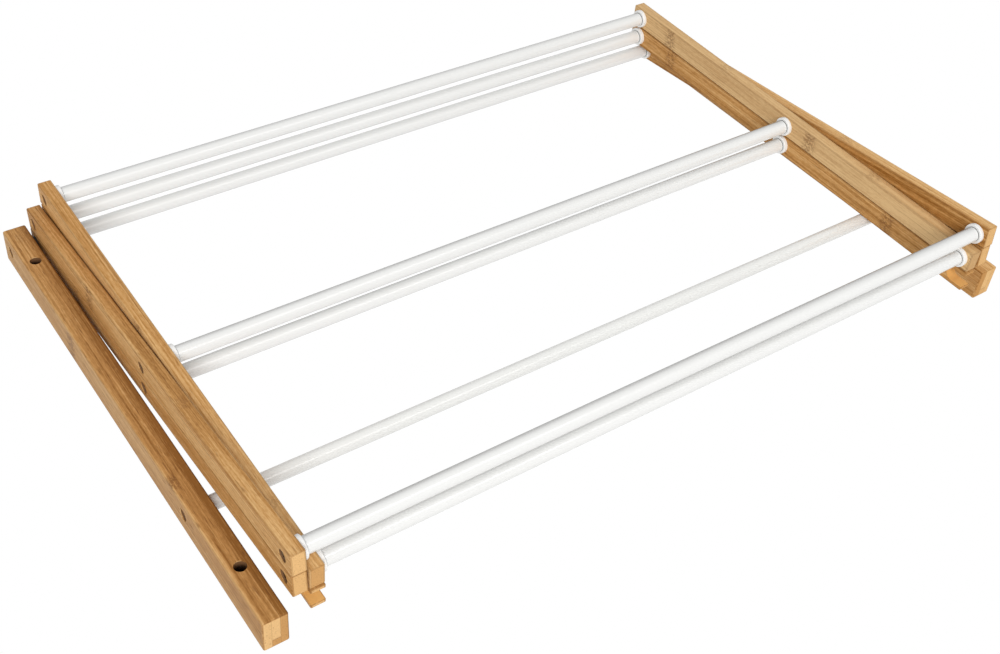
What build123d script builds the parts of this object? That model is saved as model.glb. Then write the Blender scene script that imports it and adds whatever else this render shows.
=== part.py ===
from build123d import *
import math
import os

# Folding wall rack of bamboo arms and white rods, folded flat, as it hangs on its wall.
# Millimetres. X runs along the rods, +Z is up the wall, the wall is the plane y = 0 and the
# rack stands out of it towards -Y. The origin is the centre of the four wall holes.

# Wall rails
rail_width = 17.7            # along X
rail_depth = 27.0            # out from the wall
rail_rounding = 1.4
rail_gap = 3.0               # between a rail and the arm beside it
rail_pivot_from_top = 13.0   # top rod's axis below the rail's top end
rail_past_pivot = 10.0       # rail's length past the arms' bottom pivots
pivot_off_wall = 15.3        # top rod and hook rod, from the wall
wall_hole_inset = 45.6       # wall holes from the rail's ends
wall_hole_diameter = 4.8
wall_head_diameter = 8.6     # sunk hole for the wall screw's head
wall_head_depth = 15.0

# Arms
rod_span = 577.0             # between the inner arms' inner faces
arm_thickness = 10.6         # along X
arm_height = 17.8
arm_pivot_length = 402.0     # between an arm's end pivots
arm_end = 10.8               # wood past an end pivot
open_angle = 41.1            # degrees, arm from the wall when hooked open
arm_rounding = 0.9
arm_gap = 1.0                # between an inner and an outer arm, held by washers
stack_gap = 0.75             # between two parallel arms, or two collars, when folded
rest_gap = 0.3               # between the hook arms and the hook rod when folded

# Rods
tube_diameter = 12.0
tube_wall = 0.8
tube_end_gap = 0.2           # between a tube's end and the floor of its collar
hook_rod_diameter = 11.2
hook_rod_sink = 6.0          # hook rod's length inside a rail
hook_rod_fit = 0.05          # radial, in the rail's socket
fork_clearance = 0.55        # radial, hook rod in a fork's slot

# Collars that close the tubes' ends
collar_rim = 2.0             # collar's wall round the tube
collar_base = 1.8            # collar's floor, against the arm
collar_lip = 1.4             # tube's cover past the floor
collar_rounding = 0.6
collar_plug_length = 20.0    # inside the tube, from the arm's face
tube_fit = 0.15              # radial, tube in collar and plug in tube

# Bolts, screws and washers
bolt_diameter = 5.0
bolt_head_diameter = 8.4
bolt_head_height = 3.0
bolt_head_rounding = 1.0
bolt_end_gap = 3.0           # plug left past the bolt's tip
drive_slot = 1.2
drive_length = 4.6
drive_depth = 1.6
head_side_gap = 0.5          # radial, round a sunk head
head_sink = 1.4              # head's top below the wood
bolt_play = 0.2              # radial, bolt in wood
thread_fit = 0.05            # radial, bolt in plug and screw in hook rod
hook_screw_diameter = 4.0
hook_screw_reach = 16.0      # into the hook rod
pilot_extra = 1.0            # pilot hole past the screw's tip
washer_diameter = 13.0
washer_play = 0.1            # beside each face of a washer
washer_bore_play = 0.3

cut_margin = 1.0             # a cut's run past the face that it opens

# Places that follow from these sizes
collar_diameter = tube_diameter + 2 * (tube_fit + collar_rim)
collar_length = collar_base + collar_lip
bolt_reach = collar_plug_length - bolt_end_gap
head_recess_diameter = bolt_head_diameter + 2 * head_side_gap
head_recess_depth = bolt_head_height + head_sink
rail_length = rail_pivot_from_top + arm_pivot_length + rail_past_pivot
hook_below_pivot = arm_pivot_length * math.cos(math.radians(open_angle))
inner_face = rod_span / 2
outer_face = inner_face + arm_thickness + arm_gap
rail_face = outer_face + arm_thickness + rail_gap
rail_middle = rail_face + rail_width / 2
wall_hole_height = rail_length / 2 - wall_hole_inset
pivot_height = rail_length / 2 - rail_pivot_from_top

# Folded, parallel arms and the rods' collars lie the stack gap apart
stack_pitch = max(arm_height, collar_diameter) + stack_gap
fold_angle = math.asin(2 * stack_pitch / arm_pivot_length) / 2
reach = arm_pivot_length * math.cos(fold_angle)
step = arm_pivot_length * math.sin(fold_angle)

# The folded stack leans out until its hook arms clear the hook rod
hook_clear = arm_height / 2 + hook_rod_diameter / 2 + rest_gap
lean_angle = fold_angle + math.asin((hook_clear - stack_pitch) / hook_below_pivot)
wide_angle = math.degrees(lean_angle + fold_angle)     # outer arms, from the wall
close_angle = math.degrees(lean_angle - fold_angle)    # inner arms, from the wall

# Each arm layer and the rail: start and width along X, on the right side
layers = {
    "inner": (inner_face, arm_thickness),
    "outer": (outer_face, arm_thickness),
    "rail": (rail_face, rail_width),
}

# Each rod: along and away from the stack's base line, layer at its collar, layer with the bolt head
rods = {
    "top_wall_rod": (0, 0, "outer", "rail"),
    "top_middle_rod": (0, step, "inner", "outer"),
    "top_front_rod": (0, 2 * step, "inner", "inner"),
    "centre_back_rod": (reach / 2, step / 2, "inner", "outer"),
    "centre_front_rod": (reach / 2, 1.5 * step, "inner", "outer"),
    "bottom_back_rod": (reach, step, "inner", "outer"),
    "bottom_front_rod": (reach, 2 * step, "outer", "outer"),
}

# Each arm: layer, rod at its top pivot, angle from the wall, bolt-head recesses along its pivots
arms = {
    "back_outer_arm": ("outer", "top_wall_rod", wide_angle, (0.5, 1)),
    "front_outer_arm": ("outer", "top_middle_rod", wide_angle, (0, 0.5, 1)),
    "hook_arm": ("inner", "top_middle_rod", close_angle, ()),
    "front_inner_arm": ("inner", "top_front_rod", close_angle, (0,)),
}


def pivot(rod):
    """A rod's place across the rack, as (y, z)."""
    along, away = rods[rod][:2]
    down = along * math.cos(lean_angle) - away * math.sin(lean_angle)
    out = away * math.cos(lean_angle) + along * math.sin(lean_angle)
    return -(pivot_off_wall + out), pivot_height - down


def layer_end(layer):
    start, width = layers[layer]
    return start + width


def round_bar(radius, start, end):
    """A cylinder on the X axis from start to end."""
    length = abs(end - start)
    return Pos((start + end) / 2, 0, 0) * Rot(0, 90, 0) * Cylinder(radius, length)


def layer_hole(layer, radius):
    """A cutter on the X axis, right through one layer."""
    return round_bar(radius, layers[layer][0] - cut_margin, layer_end(layer) + cut_margin)


def head_recess(layer):
    """A cutter on the X axis for a sunk head in one layer's outer face."""
    end = layer_end(layer)
    return round_bar(head_recess_diameter / 2, end - head_recess_depth, end + cut_margin)


def both_sides(shape):
    """A right-hand piece and its mirror image."""
    return Compound(children=[mirror(shape, about=Plane.YZ), shape])


def hook_place():
    return Pos(0, -pivot_off_wall, pivot_height - hook_below_pivot)


def make_rail():
    """The right rail, with the top rod's bolt hole, the hook rod's socket and the wall holes."""
    bar = Box(rail_width, rail_depth, rail_length)
    bar = Pos(rail_middle, -rail_depth / 2, 0) * fillet(bar.edges(), rail_rounding)
    top_place = Pos(0, -pivot_off_wall, pivot_height)
    cuts = [top_place * layer_hole("rail", bolt_diameter / 2 + bolt_play)]
    cuts.append(top_place * head_recess("rail"))
    cuts.append(hook_place() * layer_hole("rail", hook_screw_diameter / 2 + bolt_play))
    cuts.append(hook_place() * head_recess("rail"))
    socket_radius = hook_rod_diameter / 2 + hook_rod_fit
    cuts.append(hook_place() * round_bar(socket_radius, rail_face - cut_margin, rail_face + hook_rod_sink))
    for height in (-wall_hole_height, wall_hole_height):
        through = Rot(90, 0, 0) * Cylinder(wall_hole_diameter / 2, 2 * rail_depth)
        sunk = Rot(90, 0, 0) * Cylinder(wall_head_diameter / 2, 2 * wall_head_depth)
        cuts.append(Pos(rail_middle, -rail_depth / 2, height) * through)
        cuts.append(Pos(rail_middle, -rail_depth, height) * sunk)
    return bar - cuts


def fork_cuts(layer):
    """Cutters for the slot that hooks over the hook rod, open at the arm's bottom end."""
    slot_radius = hook_rod_diameter / 2 + fork_clearance
    start, width = layers[layer]
    mouth_length = arm_end + cut_margin
    mouth = Box(width + 2 * cut_margin, 2 * slot_radius, mouth_length)
    mouth = Pos(start + width / 2, 0, -mouth_length / 2) * mouth
    return layer_hole(layer, slot_radius), mouth


def make_arm(name):
    """A right-hand arm: modelled hanging from its top pivot, then turned out to its angle."""
    layer, top_rod, angle, recesses = arms[name]
    start, width = layers[layer]
    bar = Box(width, arm_height, arm_pivot_length + 2 * arm_end)
    bar = Pos(start + width / 2, 0, -arm_pivot_length / 2) * fillet(bar.edges(), arm_rounding)
    cuts = []
    for share in (0, 0.5, 1):
        place = Pos(0, 0, -share * arm_pivot_length)
        if name == "hook_arm" and share == 1:
            cuts.extend(place * cut for cut in fork_cuts(layer))
            continue
        cuts.append(place * layer_hole(layer, bolt_diameter / 2 + bolt_play))
        if share in recesses:
            cuts.append(place * head_recess(layer))
    y, z = pivot(top_rod)
    return Pos(0, y, z) * Rot(-angle, 0, 0) * (bar - cuts)


def make_tube(rod):
    end = layers[rods[rod][2]][0] - collar_base - tube_end_gap
    radius = tube_diameter / 2
    bore = round_bar(radius - tube_wall, -end - cut_margin, end + cut_margin)
    return Pos(0, *pivot(rod)) * (round_bar(radius, -end, end) - bore)


def make_collar(rod):
    """A right-hand collar: a cup round the tube's end with a plug inside the tube."""
    face = layers[rods[rod][2]][0]
    cup = round_bar(collar_diameter / 2, face - collar_length, face)
    inner_rim = cup.edges().filter_by(GeomType.CIRCLE).sort_by(Axis.X)[0]
    cup = fillet(inner_rim, collar_rounding)
    floor = face - collar_base
    recess = round_bar(tube_diameter / 2 + tube_fit, floor - collar_lip - cut_margin, floor)
    plug_radius = tube_diameter / 2 - tube_wall - tube_fit
    plug_end = face - collar_plug_length
    plug = round_bar(plug_radius, plug_end, floor)
    bore = round_bar(bolt_diameter / 2 + thread_fit, plug_end - cut_margin, face + cut_margin)
    return Pos(0, *pivot(rod)) * (cup - recess + plug - bore)


def make_bolt(seat, tip, diameter):
    """A bolt on the X axis: its head lies outside the seat and its shank runs in to the tip."""
    outside = seat + bolt_head_height
    head = round_bar(bolt_head_diameter / 2, seat, outside)
    rim = head.edges().filter_by(GeomType.CIRCLE).sort_by(Axis.X)[-1]
    head = fillet(rim, bolt_head_rounding)
    bolt = head + round_bar(diameter / 2, tip, seat)
    for turn in (0, 90):
        slot = Box(2 * drive_depth, drive_slot, drive_length)
        bolt = bolt - Pos(outside, 0, 0) * Rot(turn, 0, 0) * slot
    return bolt


def make_rod_bolt(rod):
    collar_layer, head_layer = rods[rod][2:]
    seat = layer_end(head_layer) - head_recess_depth
    tip = layers[collar_layer][0] - bolt_reach
    return Pos(0, *pivot(rod)) * make_bolt(seat, tip, bolt_diameter)


def make_washer(rod):
    """The ring in the gap between the layer at a rod's collar and the layer outside it."""
    collar_layer, head_layer = rods[rod][2:]
    start = layer_end(collar_layer) + washer_play
    end = layers[head_layer][0] - washer_play
    ring = round_bar(washer_diameter / 2, start, end)
    ring = ring - round_bar(bolt_diameter / 2 + washer_bore_play, start - cut_margin, end + cut_margin)
    return Pos(0, *pivot(rod)) * ring


def make_hook_rod():
    end = rail_face + hook_rod_sink
    rod = round_bar(hook_rod_diameter / 2, -end, end)
    pilot_end = end - hook_screw_reach - pilot_extra
    pilot = round_bar(hook_screw_diameter / 2 + thread_fit, pilot_end, end + cut_margin)
    return hook_place() * (rod - [pilot, mirror(pilot, about=Plane.YZ)])


def make_hook_screw():
    seat = layer_end("rail") - head_recess_depth
    tip = rail_face + hook_rod_sink - hook_screw_reach
    return hook_place() * make_bolt(seat, tip, hook_screw_diameter)


def all_nodes():
    nodes = {}
    pairs = {"rail": make_rail()}
    for name in arms:
        pairs[name] = make_arm(name)
    for name, right in pairs.items():
        nodes[name + "_left"] = mirror(right, about=Plane.YZ)
        nodes[name + "_right"] = right
    for rod, (_, _, collar_layer, head_layer) in rods.items():
        nodes[rod] = make_tube(rod)
        nodes[rod + "_collars"] = both_sides(make_collar(rod))
        nodes[rod + "_bolts"] = both_sides(make_rod_bolt(rod))
        if collar_layer != head_layer:
            nodes[rod + "_washers"] = both_sides(make_washer(rod))
    nodes["hook_rod"] = make_hook_rod()
    nodes["hook_rod_screws"] = both_sides(make_hook_screw())
    return nodes


os.makedirs("parts", exist_ok=True)
for node, shape in all_nodes().items():
    export_step(shape, f"parts/{node}.step")

print("fold angle", round(math.degrees(fold_angle), 3), "lean angle", round(math.degrees(lean_angle), 3))
for rod in rods:
    print(rod, [round(value, 2) for value in pivot(rod)])
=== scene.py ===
# %% [markdown]
# # A folding wall rack of bamboo arms and white rods
#
# The rack hangs on a wall. Two bamboo rails are screwed to the wall, and four pairs of bamboo arms cross like
# scissors between seven white tubes. An eighth, thinner rod is fixed between the rails, and the forked arms hook
# over it when the rack is pulled out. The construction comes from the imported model, already in place and in
# metres: +Z runs up the wall, the wall is the plane y = 0, and the rack stands out of it towards -Y.
# This script gives every piece its finish, and adds the floor, the light and the camera.

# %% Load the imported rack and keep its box
import math

import bpy
from mathutils import Matrix, Vector


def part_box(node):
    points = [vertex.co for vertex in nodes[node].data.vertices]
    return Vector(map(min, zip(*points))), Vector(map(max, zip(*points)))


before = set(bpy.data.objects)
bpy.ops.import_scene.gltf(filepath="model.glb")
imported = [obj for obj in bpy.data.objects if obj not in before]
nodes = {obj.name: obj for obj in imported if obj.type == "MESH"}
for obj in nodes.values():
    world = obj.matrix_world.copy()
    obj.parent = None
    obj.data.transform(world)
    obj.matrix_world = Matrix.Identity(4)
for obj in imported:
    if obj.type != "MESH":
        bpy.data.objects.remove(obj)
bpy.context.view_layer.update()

bpy.ops.object.select_all(action="DESELECT")

# %% [markdown]
# ## Small tools for building materials
#
# A material is a tree of nodes. Writing each node and link out in full hides the idea, so small helpers do it.
# One adds a node and fills or links its inputs. Others use it for one sum, one change of range, one mix of
# colours or one noise. The last ones start a material, or a node group, which is an effect with named inputs and
# outputs that several materials can share.


# %% Helpers for single nodes
def add_node(tree, kind, inputs=(), **settings):
    """A new node: its settings are set, and each input gets a value or a link."""
    node = tree.nodes.new(kind)
    for name, value in settings.items():
        setattr(node, name, value)
    for name, value in dict(inputs).items():
        if isinstance(value, bpy.types.NodeSocket):
            tree.links.new(value, node.inputs[name])
        else:
            node.inputs[name].default_value = value
    return node


def maths(tree, operation, first, second=0.0, clamp=False):
    """The result of one sum on two numbers."""
    node = add_node(tree, "ShaderNodeMath", {0: first, 1: second}, operation=operation, use_clamp=clamp)
    return node.outputs[0]


def spread(tree, value, low, high, to_low=0.0, to_high=1.0, smooth=True):
    """The value moved from one range to another, with soft or straight ends."""
    kind = "SMOOTHSTEP" if smooth else "LINEAR"
    inputs = {"Value": value, "From Min": low, "From Max": high, "To Min": to_low, "To Max": to_high}
    return add_node(tree, "ShaderNodeMapRange", inputs, interpolation_type=kind).outputs["Result"]


def mix_colours(tree, factor, first, second):
    """Two colours mixed by a factor."""
    node = add_node(tree, "ShaderNodeMix", {0: factor, 6: first, 7: second}, data_type="RGBA")
    return node.outputs[2]


def noise(tree, place, scale, seed, detail=2.0, roughness=0.5, distortion=0.0):
    """Noise at a place in metres; scale holds its cells per metre along X, Y and Z."""
    stretched = add_node(tree, "ShaderNodeVectorMath", {0: place, 1: scale}, operation="MULTIPLY").outputs[0]
    inputs = {"Vector": stretched, "W": seed, "Scale": 1.0, "Detail": detail, "Roughness": roughness}
    inputs["Distortion"] = distortion
    return add_node(tree, "ShaderNodeTexNoise", inputs, noise_dimensions="4D").outputs["Fac"]


noise_range = (0.3, 0.7)     # most of a noise lies between these values
print("helpers for single nodes ready; a noise runs from", noise_range[0], "to", noise_range[1])


# %% Helpers for groups and materials
def new_group(name, inputs, outputs):
    """An empty node group with named sockets, and its two end nodes."""
    tree = bpy.data.node_groups.new(name, "ShaderNodeTree")
    for socket, kind in inputs.items():
        tree.interface.new_socket(name=socket, in_out="INPUT", socket_type="NodeSocket" + kind)
    for socket, kind in outputs.items():
        tree.interface.new_socket(name=socket, in_out="OUTPUT", socket_type="NodeSocket" + kind)
    return tree, tree.nodes.new("NodeGroupInput"), tree.nodes.new("NodeGroupOutput")


def new_material(name):
    """An empty material with its shader, and the place on the piece."""
    material = bpy.data.materials.new(name)
    material.use_nodes = True
    tree = material.node_tree
    shader = tree.nodes["Principled BSDF"]
    place = tree.nodes.new("ShaderNodeTexCoord").outputs["Object"]
    return material, tree, shader, place


def use_group(tree, group, inputs):
    """A node group placed in a material with its own values."""
    return add_node(tree, "ShaderNodeGroup", inputs, node_tree=group)


def add_bump(tree, shader, height, depth):
    """Relief of a depth in metres on a shader."""
    bump = add_node(tree, "ShaderNodeBump", {"Height": height, "Strength": 1.0, "Distance": depth})
    tree.links.new(bump.outputs["Normal"], shader.inputs["Normal"])


def wear(names, material):
    """Give each named piece the material in place of its own."""
    for name in names:
        nodes[name].data.materials.clear()
        nodes[name].data.materials.append(material)


print("helpers for groups and materials ready")

# %% [markdown]
# ## Bamboo
#
# Bamboo board is glued up from narrow strips of split cane. Each strip has its own tone. Streaks, fine fibres and
# flecks run along it, short dark dashes show where the fibre bundles are cut, and every 20 cm or so the cane's
# joint leaves a brown, mottled band. The dashes show most on dark boards. On a sawn end the same bundles show as
# dots. The pattern is worked out in the piece's own frame: across, out from the wall, and along its length.
# Because nothing is painted on the surface, the grain runs through the wood and meets itself at every edge.
#
# The piece's half sizes tell two more things. A point under the faces of the piece's box can only lie in a
# drilled hole or a cut slot. A drilled hole takes dark cut wood with painted shade at its mouth, turning near
# black further in as painted shade; a forked arm's slot takes a paler colour, partly fresh cut wood and partly
# painted light. A point close to two faces at once lies on an edge, darkened a little: partly rubbed wood, partly
# painted shade of the narrow gaps between pieces.

# %% Bamboo's colours and scales
deep_bamboo = (0.265, 0.102, 0.014, 1.0)
middle_bamboo = (0.535, 0.268, 0.082, 1.0)
pale_bamboo = (0.79, 0.495, 0.215, 1.0)
vein_brown = (0.19, 0.072, 0.012, 1.0)
knuckle_brown = (0.15, 0.056, 0.018, 1.0)
# The brown of the glue lines, also used for the edges' painted shade
glue_and_edge_shade_brown = (0.15, 0.06, 0.016, 1.0)
faded_bamboo = (0.52, 0.43, 0.27, 1.0)

# Cells per metre across, out and along
fibre_scale = (1500.0, 1500.0, 26.0)
streak_scale = (620.0, 620.0, 5.0)
vein_scale = (900.0, 900.0, 7.0)
patch_scale = (85.0, 85.0, 7.0)
dash_scale = (1050.0, 1050.0, 85.0)
fleck_scale = (1000.0, 1000.0, 230.0)
mottle_scale = (620.0, 620.0, 380.0)
pore_scale = 1700.0
print("a fibre is about", round(1000 / fibre_scale[2]), "mm long, a dash", round(1000 / dash_scale[2]), "mm")

# %% Strips: each with its own tone and its own grain
row_shift = 0.79             # of a strip's height, from the middle of the piece to the middle of a row
strip_seeds = 40.0           # how far the grain of one strip can lie from another's


def find_strips(tree, start, across, out):
    """The place among the columns and rows of strips, the strip's column, its tone and its seed."""
    column = maths(tree, "ADD", maths(tree, "DIVIDE", across, start.outputs["Strip Width"]), 0.5)
    strip_column = maths(tree, "FLOOR", column)

    # Only the middle column is split into rows
    in_middle = maths(tree, "SUBTRACT", 1.0, maths(tree, "ABSOLUTE", strip_column), clamp=True)
    row = maths(tree, "SUBTRACT", maths(tree, "DIVIDE", out, start.outputs["Strip Height"]), row_shift)
    row = maths(tree, "ADD", maths(tree, "MULTIPLY", row, in_middle), 0.5)

    # Whole numbers for the column and the row name each strip
    names = {0: strip_column, 1: maths(tree, "FLOOR", row), 2: start.outputs["Seed"]}
    strip = add_node(tree, "ShaderNodeCombineXYZ", names).outputs[0]
    chance = add_node(tree, "ShaderNodeTexWhiteNoise", {"Vector": strip}, noise_dimensions="3D")
    strip_tone, strip_seed, _ = add_node(tree, "ShaderNodeSeparateColor", {0: chance.outputs["Color"]}).outputs
    own_seed = maths(tree, "ADD", maths(tree, "MULTIPLY", strip_seed, strip_seeds), start.outputs["Seed"])
    return column, row, strip_column, strip_tone, own_seed


print("rows shifted by", row_shift, "of a strip")

# %% Marks at the cane's joints
mark_wobble = 0.014          # metres that a mark can wander along the streaks
mark_shift = 0.37            # of the joints' spacing, from one strip to the next
mark_strength = 0.6
weaker_strips = 0.45         # strength of the marks away from the first strip
band_fade = (0.0025, 0.0095)     # metres from the joint where the band starts to fade and where it ends
line_fade = (0.0004, 0.0018)


def knuckle_marks(tree, start, strip_column, along, streak, mottle):
    """The dark marks at the cane's joints, from 0 to 1."""
    spacing = start.outputs["Knuckle Spacing"]
    wobble = maths(tree, "MULTIPLY", maths(tree, "SUBTRACT", streak, 0.5), mark_wobble)
    from_first = maths(tree, "SUBTRACT", maths(tree, "ADD", along, wobble), start.outputs["Knuckle"])
    shift = maths(tree, "MULTIPLY", maths(tree, "ADD", strip_column, 1.0), mark_shift)

    # Half a turn puts a joint in the middle of its spacing, and eight whole turns keep the number above zero
    turns = maths(tree, "ADD", maths(tree, "DIVIDE", from_first, spacing), maths(tree, "ADD", shift, 8.5))
    from_knuckle = maths(tree, "ABSOLUTE", maths(tree, "SUBTRACT", maths(tree, "FRACT", turns), 0.5))
    from_knuckle = maths(tree, "MULTIPLY", from_knuckle, spacing)
    mottled = spread(tree, mottle, 0.4, 0.58)
    band = maths(tree, "MULTIPLY", spread(tree, from_knuckle, *band_fade, mark_strength, 0.0), mottled)
    line = maths(tree, "MULTIPLY", spread(tree, from_knuckle, *line_fade, mark_strength, 0.0), mottled)
    strength = spread(tree, strip_column, -1.0, 0.0, 1.0, weaker_strips, smooth=False)
    return maths(tree, "MULTIPLY", maths(tree, "MAXIMUM", band, line), strength)


print("a joint's band reaches", band_fade[1] * 1000, "mm to each side")

# %% The tone of a board, and the colour it picks
streak_share, patch_share, fibre_share, fleck_share, strip_share = 1.6, 0.7, 0.95, 0.75, 0.22
sawn_tones = (0.5, 1.1)      # of the darkest and the palest strip on a sawn end
sawn_share = 0.85


def board_tone(tree, start, grains, strip_tone, lengthwise, across, along):
    """The tone of the wood: its grain, then the strip's own, the piece's own and its change across and up, which
    is partly painted shade.
    """
    grain = 0.0
    for value, share in grains:
        grain = maths(tree, "ADD", grain, maths(tree, "MULTIPLY", maths(tree, "SUBTRACT", value, 0.5), share))
    tone = maths(tree, "MULTIPLY", grain, lengthwise)
    own_tone = maths(tree, "MULTIPLY", maths(tree, "SUBTRACT", strip_tone, 0.5), strip_share)
    half_sizes = add_node(tree, "ShaderNodeSeparateXYZ", {0: start.outputs["Half Size"]})
    half_width, _, half_length = half_sizes.outputs

    # The cube of the place across keeps the change close to the two sides
    side = maths(tree, "DIVIDE", across, half_width)
    side = maths(tree, "MULTIPLY", side, maths(tree, "MULTIPLY", side, side))
    slant_tone_and_shade = maths(tree, "MULTIPLY", side, start.outputs["Slant Tone And Shade"])
    rise_tone_and_shade = maths(tree, "MULTIPLY", maths(tree, "DIVIDE", along, half_length), start.outputs["Rise Tone And Shade"])
    for change in (own_tone, slant_tone_and_shade, rise_tone_and_shade, start.outputs["Tone"]):
        tone = maths(tree, "ADD", tone, change)
    return tone


def add_ramp(tree, value, stops):
    """A colour picked from a row of colours by a value from 0 to 1."""
    ramp = add_node(tree, "ShaderNodeValToRGB", {0: value})
    elements = ramp.color_ramp.elements
    for _ in stops[2:]:
        elements.new(0.5)
    for element, (place, colour) in zip(elements, stops):
        element.position = place
        element.color = colour
    return ramp.outputs[0]


bamboo_stops = [(0.0, deep_bamboo), (0.5, middle_bamboo), (1.0, pale_bamboo)]
print("bamboo colours by tone:", [place for place, _ in bamboo_stops])

# %% Edges, holes and slots
# Edges darken partly as rubbed wood and partly as painted shade of narrow gaps; drilled holes darken with depth
# as painted shade.
rubbed_and_shaded_edge = (0.0002, 0.0013)   # metres from an edge where the rubbing starts to fade and where it ends
rubbed_and_shade_share = 0.42
cut_start = (0.00042, 0.0008)    # metres under a face where cut wood begins
hole_shade_depths = (0.0014, 0.0065)      # metres under a face where a hole's mouth turns into its inside


def depth_in_box(tree, place, half):
    """How deep a point lies under the nearest face of the piece's box, and under the next one."""
    size = add_node(tree, "ShaderNodeVectorMath", {0: place}, operation="ABSOLUTE").outputs[0]
    depth = add_node(tree, "ShaderNodeVectorMath", {0: half, 1: size}, operation="SUBTRACT").outputs[0]
    across, out, along = add_node(tree, "ShaderNodeSeparateXYZ", {0: depth}).outputs
    low = maths(tree, "MINIMUM", across, out)
    high = maths(tree, "MAXIMUM", across, out)
    nearest = maths(tree, "MINIMUM", low, along)
    return nearest, maths(tree, "MAXIMUM", low, maths(tree, "MINIMUM", high, along))


def rub_shade_and_cut(tree, start, colour):
    """The colour with darkened edges, partly rubbed and partly painted shade, and with the walls of holes and
    slots, which change with depth as painted shade.
    """
    nearest, second = depth_in_box(tree, start.outputs["Place"], start.outputs["Half Size"])
    colour = mix_colours(tree, spread(tree, second, *rubbed_and_shaded_edge, rubbed_and_shade_share, 0.0), colour, glue_and_edge_shade_brown)
    deep = spread(tree, nearest, *hole_shade_depths)
    inside = mix_colours(tree, deep, start.outputs["Mouth Wood And Painted Light Color"], start.outputs["Hole Wood And Painted Light Color"])
    return mix_colours(tree, spread(tree, nearest, *cut_start), colour, inside)


print("edges are rubbed", rubbed_and_shaded_edge[1] * 1000, "mm wide")

# %% Bamboo's shared grain
vein_share = 0.55
dash_shares = (0.56, 0.16)   # on a dark board and on a pale one
dark_and_pale = (0.2, 0.9)   # the tones of those two boards
glue_shares = (0.16, 0.3)    # along the piece and on a sawn end
pore_share = 0.25
sawn_fade = 0.75
grain_inputs = {"Place": "Vector", "Half Size": "Vector", "Seed": "Float", "Strip Width": "Float",
                "Strip Height": "Float", "Tone": "Float", "Slant Tone And Shade": "Float", "Rise Tone And Shade": "Float", "Knuckle": "Float",
                "Knuckle Spacing": "Float", "Fade": "Float", "Mouth Wood And Painted Light Color": "Color", "Hole Wood And Painted Light Color": "Color"}
grain_outputs = {"Color": "Color", "Roughness": "Float", "Height": "Float"}


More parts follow.
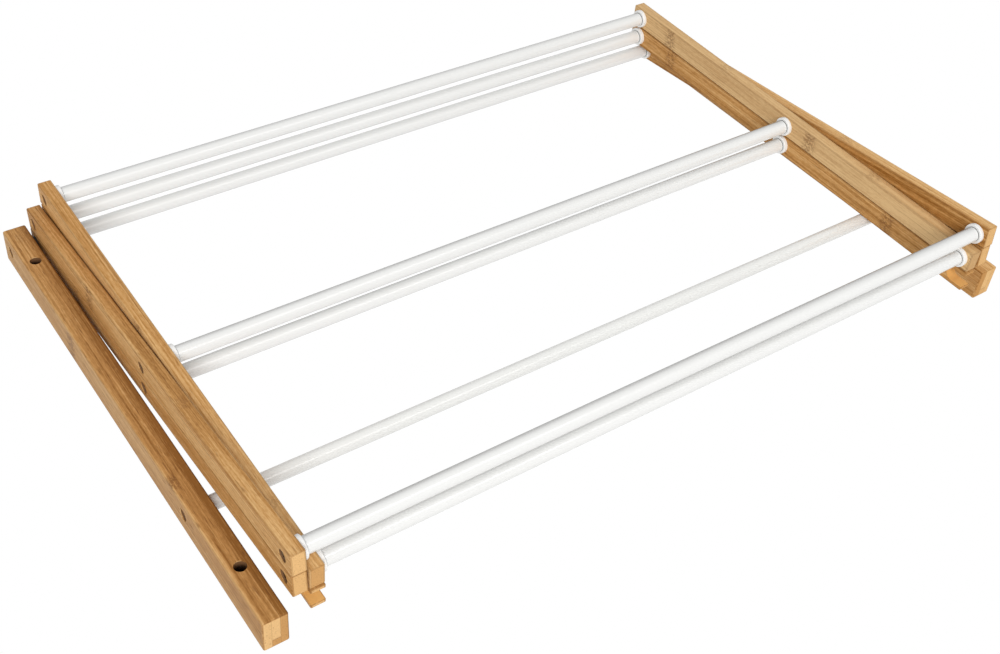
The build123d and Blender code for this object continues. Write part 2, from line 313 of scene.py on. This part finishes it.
def build_bamboo_grain():
    """The group that gives bamboo its colour, roughness and relief."""
    tree, start, end = new_group("bamboo_grain", grain_inputs, grain_outputs)
    place = start.outputs["Place"]
    across, out, along = add_node(tree, "ShaderNodeSeparateXYZ", {0: place}).outputs
    column, row, strip_column, strip_tone, own_seed = find_strips(tree, start, across, out)

    # Grain along the strip
    fibre = noise(tree, place, fibre_scale, own_seed, detail=3.0, roughness=0.6)
    streak = noise(tree, place, streak_scale, own_seed, detail=4.0, roughness=0.65)
    patch = noise(tree, place, patch_scale, own_seed, detail=2.0)
    mottle = noise(tree, place, mottle_scale, own_seed, detail=2.0, roughness=0.6, distortion=0.8)
    vein = spread(tree, noise(tree, place, vein_scale, own_seed, detail=2.0), 0.57, 0.78)
    dash = spread(tree, noise(tree, place, dash_scale, own_seed, detail=1.0), 0.6, 0.74)
    fleck = noise(tree, place, fleck_scale, own_seed, detail=2.0, roughness=0.6)
    knuckle = knuckle_marks(tree, start, strip_column, along, streak, mottle)

    # Sawn ends face along the piece; their streaks fade
    facing = add_node(tree, "ShaderNodeSeparateXYZ", {0: tree.nodes.new("ShaderNodeTexCoord").outputs["Normal"]})
    sawn = spread(tree, maths(tree, "ABSOLUTE", facing.outputs[2]), 0.75, 0.95)
    lengthwise = maths(tree, "SUBTRACT", 1.0, maths(tree, "MULTIPLY", sawn, sawn_fade))

    # Colour by tone, then fading, veins, dashes and joint marks
    grains = ((streak, streak_share), (patch, patch_share), (fibre, fibre_share), (fleck, fleck_share))
    tone = board_tone(tree, start, grains, strip_tone, lengthwise, across, along)
    sawn_tone = spread(tree, strip_tone, 0.0, 1.0, *sawn_tones, smooth=False)
    tone = spread(tree, maths(tree, "MULTIPLY", sawn, sawn_share), 0.0, 1.0, tone, sawn_tone, smooth=False)
    colour = add_ramp(tree, tone, bamboo_stops)
    colour = mix_colours(tree, start.outputs["Fade"], colour, faded_bamboo)
    vein = maths(tree, "MULTIPLY", vein, lengthwise)
    colour = mix_colours(tree, maths(tree, "MULTIPLY", vein, vein_share), colour, vein_brown)
    dash_share = spread(tree, start.outputs["Tone"], *dark_and_pale, *dash_shares, smooth=False)
    colour = mix_colours(tree, maths(tree, "MULTIPLY", dash, dash_share), colour, knuckle_brown)
    colour = mix_colours(tree, maths(tree, "MULTIPLY", knuckle, lengthwise), colour, knuckle_brown)

    # Glue lines between strips, clearest on the sawn ends
    edge_across = maths(tree, "ABSOLUTE", maths(tree, "SUBTRACT", maths(tree, "FRACT", column), 0.5))
    edge_out = maths(tree, "ABSOLUTE", maths(tree, "SUBTRACT", maths(tree, "FRACT", row), 0.5))
    glue = spread(tree, maths(tree, "MAXIMUM", edge_across, edge_out), 0.45, 0.495)
    glue_share = spread(tree, sawn, 0.0, 1.0, *glue_shares)
    colour = mix_colours(tree, maths(tree, "MULTIPLY", glue, glue_share), colour, glue_and_edge_shade_brown)

    # Cut bundles on the sawn ends
    flat_place = add_node(tree, "ShaderNodeVectorMath", {0: place, 1: (1.0, 1.0, 0.0)}, operation="MULTIPLY")
    pores = add_node(tree, "ShaderNodeTexVoronoi", {"Vector": flat_place.outputs[0], "Scale": pore_scale})
    pore = maths(tree, "MULTIPLY", spread(tree, pores.outputs["Distance"], 0.15, 0.4, 1.0, 0.0), sawn)
    colour = mix_colours(tree, maths(tree, "MULTIPLY", pore, pore_share), colour, knuckle_brown)
    colour = rub_shade_and_cut(tree, start, colour)

    # Dashes and sawn ends are rougher; dashes, glue lines and cut bundles lie a little lower
    rough = maths(tree, "ADD", maths(tree, "MULTIPLY", fibre, 0.16), 0.46)
    rough = maths(tree, "ADD", rough, maths(tree, "MULTIPLY", maths(tree, "MAXIMUM", dash, sawn), 0.16))
    height = maths(tree, "ADD", fibre, maths(tree, "MULTIPLY", dash, -0.8))
    height = maths(tree, "SUBTRACT", height, maths(tree, "MAXIMUM", maths(tree, "MULTIPLY", glue, 0.8), pore))
    tree.links.new(colour, end.inputs["Color"])
    tree.links.new(rough, end.inputs["Roughness"])
    tree.links.new(height, end.inputs["Height"])
    return tree


bamboo_grain = build_bamboo_grain()
print("bamboo grain nodes:", len(bamboo_grain.nodes))

# %% [markdown]
# ## Bamboo on each rail and arm
#
# Every rail and arm is cut from another board, so each has its own row in a table: its tone, how much paler it
# gets across its width and up its length, where the cane's joints lie, and how far it has faded to a greyer
# yellow. The change across and up is partly the board's own tone and partly painted shade, where a neighbouring
# arm shades a face or one end. The grain has to run along the piece, and the arms lean, so a Mapping node turns
# the pattern by the arm's angle and centres it on the piece. The angle is measured: it is the slope from the
# arm's top rod to its bottom rod. The middle and the half sizes are measured along that slope.

# %% A row for each board
# Tone, its change across and up (partly painted shade), a joint's place from the middle, spacing of the joints,
# fading
boards = {
    "rail_left": (0.21, -0.44, 0.1, -0.085, 0.45, 0.05),
    "rail_right": (0.68, 0.1, 0.0, 0.05, 0.24, 0.0),
    "back_outer_arm_left": (0.56, -0.08, 0.0, 0.12, 0.4, 0.0),
    "back_outer_arm_right": (0.5, 0.1, 0.0, -0.02, 0.3, 0.0),
    "front_outer_arm_left": (0.45, -0.16, -0.12, 0.09, 0.4, 0.02),
    "front_outer_arm_right": (0.68, 0.44, 0.0, 0.13, 0.5, 0.0),
    "hook_arm_left": (0.5, 0.0, 0.0, 0.06, 0.28, 0.0),
    "hook_arm_right": (0.66, 0.08, 0.0, 0.153, 0.281, 0.0),
    "front_inner_arm_left": (0.7, 0.04, 0.0, 0.03, 0.5, 0.0),
    "front_inner_arm_right": (0.9, 0.12, 0.0, 0.157, 0.187, 0.25),
}
strips = {"rail": (0.0059, 0.021), "arm": (0.0085, 0.04)}    # metres across and out
print("boards:", len(boards))


# %% The lean of the arms
def middle(name):
    """The middle of a piece's box."""
    low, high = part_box(name)
    return (low + high) / 2


def slope(top, bottom):
    """The angle from the wall of the line from one rod down to another."""
    line = middle(bottom) - middle(top)
    return math.atan2(-line.y, -line.z)


def turned_box(name, turn):
    """The middle and the half sizes of a piece, measured after a turn."""
    points = [turn @ vertex.co for vertex in nodes[name].data.vertices]
    low = Vector(min(point[axis] for point in points) for axis in range(3))
    high = Vector(max(point[axis] for point in points) for axis in range(3))
    return (low + high) / 2, (high - low) / 2


outer_angle = slope("top_wall_rod", "bottom_back_rod")
inner_angle = slope("top_front_rod", "bottom_back_rod")
print("outer arms lean", round(math.degrees(outer_angle), 2), "inner arms", round(math.degrees(inner_angle), 2))

# %% One bamboo material for each piece
grain_depth = 0.00006        # metres
bamboo_shine = 0.14
first_seed, seed_step = 31.4, 3.7
# A drilled hole's mouth is dark cut wood with painted shade, and further in it is near black as painted shade; a
# forked arm's slot is paler, partly fresh cut wood and partly painted light.
drilled_mouth_wood_and_shade = (0.2, 0.1, 0.045, 1.0)
drilled_hole_painted_shade = (0.04, 0.017, 0.007, 1.0)
cut_wood_and_painted_light_pale = (0.74, 0.41, 0.13, 1.0)


def board_angle(name):
    """The angle of a rail or an arm from the wall."""
    if name.startswith("rail"):
        return 0.0
    return outer_angle if "outer" in name else inner_angle


def make_bamboo(name, seed):
    """The bamboo of one rail or arm, with its grain along the piece."""
    material, tree, shader, place = new_material("bamboo_" + name)
    angle = board_angle(name)
    centre, half = turned_box(name, Matrix.Rotation(angle, 3, "X"))
    turned = add_node(tree, "ShaderNodeMapping", {"Vector": place, "Location": -centre})
    turned.inputs["Rotation"].default_value = (angle, 0.0, 0.0)
    strip_width, strip_height = strips["rail" if name.startswith("rail") else "arm"]
    tone, slant_tone_and_shade, rise_tone_and_shade, knuckle, spacing, fade = boards[name]
    values = {"Place": turned.outputs[0], "Half Size": half, "Seed": seed, "Strip Width": strip_width,
              "Strip Height": strip_height, "Tone": tone, "Slant Tone And Shade": slant_tone_and_shade, "Rise Tone And Shade": rise_tone_and_shade, "Knuckle": knuckle,
              "Knuckle Spacing": spacing, "Fade": fade}
    is_hook = name.startswith("hook")
    values["Mouth Wood And Painted Light Color"] = cut_wood_and_painted_light_pale if is_hook else drilled_mouth_wood_and_shade
    values["Hole Wood And Painted Light Color"] = cut_wood_and_painted_light_pale if is_hook else drilled_hole_painted_shade
    grain = use_group(tree, bamboo_grain, values)
    tree.links.new(grain.outputs["Color"], shader.inputs["Base Color"])
    tree.links.new(grain.outputs["Roughness"], shader.inputs["Roughness"])
    shader.inputs["Specular IOR Level"].default_value = bamboo_shine
    add_bump(tree, shader, grain.outputs["Height"], grain_depth)
    return material


for number, name in enumerate(boards):
    wear([name], make_bamboo(name, first_seed + seed_step * number))
print("rails and arms dressed:", len(boards))

# %% [markdown]
# ## White coat, white collars, and washers in painted shade
#
# The rods are steel tubes with a smooth white coat, and moulded plastic collars close their ends. Both are
# nearly white, but neither is one flat colour: a sprayed coat ripples a little, and handling leaves it slightly
# duller in places. One shared group makes this unevenness, and each finish mixes its own two colours with it.
# The washers between the pieces are coloured near black and dull as painted shade, so the narrow gaps look
# shaded. The fine seam where a tube goes into its collar is painted dark grey as shade.
#
# A thin grey line is painted along the upper edge of the tubes, as painted reflection and shade of the darker
# part of the room. A Layer Weight node finds the places seen at a flat angle, and the surface's direction keeps
# the line to the upper side. The two tubes furthest from the camera have no such line.

# %% Shared unevenness of a coat
coat_wide = (11.0, 70.0, 70.0)       # cells per metre along X, Y and Z
coat_fine = (240.0, 240.0, 240.0)
coat_speck = (420.0, 420.0, 420.0)
coat_shades = (0.95, 1.0)
speck_share = 0.07


def build_coat_marks():
    """The group of a coat's slight ripple, dulling and specks."""
    inputs = {"Place": "Vector", "Seed": "Float"}
    outputs = {"Shade": "Float", "Dull": "Float", "Height": "Float"}
    tree, start, end = new_group("coat_marks", inputs, outputs)
    place, seed = start.outputs["Place"], start.outputs["Seed"]
    wide = noise(tree, place, coat_wide, seed, detail=3.0, roughness=0.6)
    fine = noise(tree, place, coat_fine, seed, detail=1.0)
    speck = spread(tree, noise(tree, place, coat_speck, seed, detail=1.0), 0.74, 0.8)
    shade = spread(tree, wide, *noise_range, *coat_shades)
    shade = maths(tree, "SUBTRACT", shade, maths(tree, "MULTIPLY", speck, speck_share))
    tree.links.new(shade, end.inputs["Shade"])
    tree.links.new(wide, end.inputs["Dull"])
    tree.links.new(fine, end.inputs["Height"])
    return tree


coat_marks = build_coat_marks()
print("coat marks nodes:", len(coat_marks.nodes))

# %% The painted shade in the seam at a collar, and the painted grey upper edge
seam_shade_width = 0.0008          # metres past the collar's rim
edge_shade_side = (0.0, -0.65, 0.76)   # the direction that lies uppermost in the photograph
edge_shade_falloff = 1.6


def collar_rim(rod):
    """How far from the middle plane the rims of a rod's collars begin."""
    low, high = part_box(rod)
    centre = (low + high) / 2
    radius = (high.z - low.z) / 2
    points = [vertex.co for vertex in nodes[rod + "_collars"].data.vertices]
    return min(abs(p.x) for p in points if math.hypot(p.y - centre.y, p.z - centre.z) > radius)


def collar_seam_shade(tree, place, rim):
    """1 in the seam between a tube and its collars, where shade is painted, and 0 elsewhere."""
    from_middle = maths(tree, "ABSOLUTE", add_node(tree, "ShaderNodeSeparateXYZ", {0: place}).outputs[0])
    return spread(tree, from_middle, rim - seam_shade_width, rim - seam_shade_width / 2)


def painted_upper_edge_shade(tree, share):
    """How much painted shade darkens the upper side of a tube: most where it is seen at a flat angle."""
    flat = tree.nodes.new("ShaderNodeLayerWeight").outputs["Facing"]
    normal = tree.nodes.new("ShaderNodeTexCoord").outputs["Normal"]
    upper = add_node(tree, "ShaderNodeVectorMath", {0: normal, 1: edge_shade_side}, operation="DOT_PRODUCT")
    upper = maths(tree, "MULTIPLY", upper.outputs["Value"], share, clamp=True)
    return maths(tree, "MULTIPLY", maths(tree, "POWER", flat, edge_shade_falloff), upper)


rods = sorted(name for name in nodes if name.endswith("_rod") and name != "hook_rod")
rims = {rod: collar_rim(rod) for rod in rods}
print("collar rims in mm:", {rod: round(rim * 1000, 2) for rod, rim in rims.items()})

# %% White tubes
coat_white = (0.77, 0.77, 0.755, 1.0)
# The hook rod's coat is a little whiter than the tubes' as painted light, for the bright line no lamp draws on it
hook_rod_painted_light_white = (0.825, 0.825, 0.8, 1.0)
dull_white = (0.70, 0.69, 0.66, 1.0)
# Dark grey painted as shade in the seam just past a collar's rim
seam_shade_grey = (0.13, 0.127, 0.12, 1.0)
# Near black, mixed along each tube's upper edge as painted reflection and shade, with its share on each tube
edge_painted_shade = (0.02, 0.02, 0.02, 1.0)
edge_shade_shares = {"bottom_back_rod": 0.65, "bottom_front_rod": 0.7, "centre_back_rod": 0.5, "centre_front_rod": 0.75,
               "top_front_rod": 0.55, "top_middle_rod": 0.0, "top_wall_rod": 0.0}
coat_rough = (0.16, 0.26)
coat_shine = 0.75
coat_depth = 0.000007        # metres
tube_seed_step, hook_rod_seed = 2.3, 31.0


def make_white_steel(name, white, seed, rim=None, edge_shade_share=0.0):
    """The white coat of one rod, with seams where it has collars."""
    material, tree, shader, place = new_material(name)
    marks = use_group(tree, coat_marks, {"Place": place, "Seed": seed})
    colour = mix_colours(tree, marks.outputs["Shade"], dull_white, white)
    if rim is not None:
        colour = mix_colours(tree, collar_seam_shade(tree, place, rim), colour, seam_shade_grey)
    if edge_shade_share:
        colour = mix_colours(tree, painted_upper_edge_shade(tree, edge_shade_share), colour, edge_painted_shade)
    tree.links.new(colour, shader.inputs["Base Color"])
    tree.links.new(spread(tree, marks.outputs["Dull"], *noise_range, *coat_rough), shader.inputs["Roughness"])
    shader.inputs["Specular IOR Level"].default_value = coat_shine
    add_bump(tree, shader, marks.outputs["Height"], coat_depth)
    return material


for number, rod in enumerate(rods):
    seed = tube_seed_step * number
    wear([rod], make_white_steel("white_steel_" + rod, coat_white, seed, rims[rod], edge_shade_shares[rod]))
wear(["hook_rod"], make_white_steel("white_steel_hook_rod", hook_rod_painted_light_white, hook_rod_seed))
print("tubes dressed:", len(rods), "and the hook rod")

# %% Collars and washers
collar_white = (0.84, 0.835, 0.82, 1.0)
collar_dull = (0.7, 0.69, 0.65, 1.0)
collar_rough = (0.3, 0.42)
# The washers' near-black colours are painted shade for the narrow gaps between the pieces
washer_painted_shade_black = (0.016, 0.012, 0.009, 1.0)
washer_painted_shade_dull = (0.03, 0.025, 0.02, 1.0)
washer_rough = (0.6, 0.75)
collar_seed, washer_seed = 50.0, 60.0


def make_plastic(name, colour, dull, rough, seed):
    """A moulded plastic, from its colour, the colour in its dull places, and its range of roughness."""
    material, tree, shader, place = new_material(name)
    marks = use_group(tree, coat_marks, {"Place": place, "Seed": seed})
    mixed = mix_colours(tree, marks.outputs["Shade"], dull, colour)
    tree.links.new(mixed, shader.inputs["Base Color"])
    tree.links.new(spread(tree, marks.outputs["Dull"], *noise_range, *rough), shader.inputs["Roughness"])
    add_bump(tree, shader, marks.outputs["Height"], coat_depth)
    return material


collars = [name for name in nodes if name.endswith("_collars")]
washers = [name for name in nodes if name.endswith("_washers")]
wear(collars, make_plastic("collar_plastic", collar_white, collar_dull, collar_rough, collar_seed))
wear(washers, make_plastic("washer_plastic", washer_painted_shade_black, washer_painted_shade_dull, washer_rough, washer_seed))
print("collars dressed:", len(collars), "washers:", len(washers))

# %% [markdown]
# ## Plated bolts
#
# The bolt heads are sunk a little in the wood, and show as dark, slightly yellowed metal with a cross drive.
# Plating is never even: it is cloudier in some places, and its surface is finely grained.

# %% Bolt steel
plate_pale = (0.2, 0.16, 0.11, 1.0)
plate_dark = (0.07, 0.054, 0.036, 1.0)
plate_cloud = (500.0, 500.0, 500.0)      # cells per metre
plate_grain = (2600.0, 2600.0, 2600.0)
cloud_seed, plate_seed = 4.0, 7.0
plate_rough = (0.3, 0.5)
plate_depth = 0.00002        # metres


def make_bolt_steel():
    """Plated steel, cloudy and finely grained."""
    material, tree, shader, place = new_material("bolt_steel")
    cloud = noise(tree, place, plate_cloud, cloud_seed, detail=3.0, roughness=0.6)
    fine = noise(tree, place, plate_grain, plate_seed, detail=2.0)
    colour = mix_colours(tree, spread(tree, cloud, 0.35, 0.65), plate_dark, plate_pale)
    tree.links.new(colour, shader.inputs["Base Color"])
    tree.links.new(spread(tree, fine, *noise_range, *plate_rough), shader.inputs["Roughness"])
    shader.inputs["Metallic"].default_value = 1.0
    add_bump(tree, shader, fine, plate_depth)
    return material


bolts = [name for name in nodes if name.endswith(("_bolts", "_screws"))]
wear(bolts, make_bolt_steel())
print("bolts and screws dressed:", len(bolts))

# %% [markdown]
# ## Floor, light and camera
#
# The photograph has a plain white ground, soft light and hardly a shadow. A pale floor lies well below the rack.
# The floor and the world show white to the camera and to reflections, and the world gives a plain grey light to
# everything else. Four large soft lamps do the shaping. The key lamp stands low at the left, where the
# photograph is brightest. A weak lamp in the room fills the fronts. One behind the rack gives the light that a
# white table under it would throw back. A long low one draws the bright line along the tubes.

# %% World: white to look at, plain grey as light
plain_white = (1.0, 1.0, 1.0, 1.0)
room_light = 0.54


def seen_directly(tree):
    """1 for a ray from the camera, or one that a shiny or clear surface sends on, and 0 for the rest."""
    path = tree.nodes.new("ShaderNodeLightPath")
    seen = maths(tree, "MAXIMUM", path.outputs["Is Camera Ray"], path.outputs["Is Transmission Ray"])
    return maths(tree, "MAXIMUM", seen, path.outputs["Is Glossy Ray"])


world = bpy.data.worlds.new("white_room")
bpy.context.scene.world = world
world.use_nodes = True
sky = world.node_tree
sky.nodes.clear()
strength = spread(sky, seen_directly(sky), 0.0, 1.0, room_light, 1.0, smooth=False)
glow = add_node(sky, "ShaderNodeBackground", {"Color": plain_white, "Strength": strength})
sky_end = sky.nodes.new("ShaderNodeOutputWorld")
sky.links.new(glow.outputs[0], sky_end.inputs["Surface"])
print("room light", room_light)

# %% Floor
floor_height = -4.6
floor_size = 12.0
floor_white = 0.97           # share of plain white that the camera sees in the floor
floor_grey = (0.80, 0.80, 0.795, 1.0)
floor_pale = (0.84, 0.84, 0.835, 1.0)
floor_scale = (3.0, 3.0, 3.0)
floor_seed = 1.0
floor_rough = 0.7
bpy.ops.mesh.primitive_plane_add(size=floor_size, location=(0.0, 0.0, floor_height))
floor = bpy.context.active_object
floor.name = "floor"
bpy.ops.object.transform_apply(location=True, rotation=True, scale=True)
floor_paint, floor_tree, floor_shader, floor_place = new_material("pale_floor")
floor_tone = noise(floor_tree, floor_place, floor_scale, floor_seed)
floor_colour = mix_colours(floor_tree, floor_tone, floor_grey, floor_pale)
floor_tree.links.new(floor_colour, floor_shader.inputs["Base Color"])
floor_shader.inputs["Roughness"].default_value = floor_rough
white_share = maths(floor_tree, "MULTIPLY", seen_directly(floor_tree), floor_white)
white = add_node(floor_tree, "ShaderNodeEmission", {"Color": plain_white, "Strength": 1.0})
layers = {0: white_share, 1: floor_shader.outputs[0], 2: white.outputs[0]}
both = add_node(floor_tree, "ShaderNodeMixShader", layers)
floor_tree.links.new(both.outputs[0], floor_tree.nodes["Material Output"].inputs["Surface"])
floor.data.materials.append(floor_paint)
print("floor at", floor_height)


# %% Soft lamps
def add_lamp(name, place, aim, size, power):
    """A rectangular lamp at a place, turned to its aim."""
    bpy.ops.object.light_add(type="AREA", location=place)
    lamp = bpy.context.active_object
    lamp.name = name
    lamp.rotation_euler = (Vector(aim) - Vector(place)).to_track_quat("-Z", "Y").to_euler()
    lamp.data.shape = "RECTANGLE"
    lamp.data.size, lamp.data.size_y = size
    lamp.data.energy = power
    print(name, power, "W")


rack_middle = (0.0, 0.0, 0.0)
add_lamp("key_lamp", (-2.0, -2.4, -3.35), rack_middle, (2.0, 2.0), 135.0)
add_lamp("room_lamp", (0.6, -2.0, 0.6), rack_middle, (1.6, 1.6), 2.0)
add_lamp("table_lamp", (-0.5, 1.7, -1.2), rack_middle, (1.6, 1.6), 7.0)
add_lamp("line_lamp", (0.55, -1.55, -1.45), (0.55, 0.0, 0.0), (1.1, 0.55), 5.0)

# %% Camera at the photograph's place
eye = Vector((-0.5321, -0.7123, -0.6567))
aim = Vector((-0.0700, -0.0400, -0.0802))
image_up = Vector((0.3390, -0.7357, 0.5863))
lens, film_width = 49.6, 36.0    # millimetres
bpy.ops.object.camera_add(location=eye)
camera = bpy.context.active_object
camera.name = "photo_camera"
back = (eye - aim).normalized()
right = image_up.cross(back).normalized()
turn = Matrix((right, back.cross(right), back)).transposed()
camera.rotation_euler = turn.to_euler()
camera.data.lens = lens
camera.data.sensor_width = film_width
camera.data.clip_start = 0.01
bpy.context.scene.camera = camera
bpy.context.scene.view_settings.view_transform = "Standard"
print("camera", [round(value, 3) for value in eye])
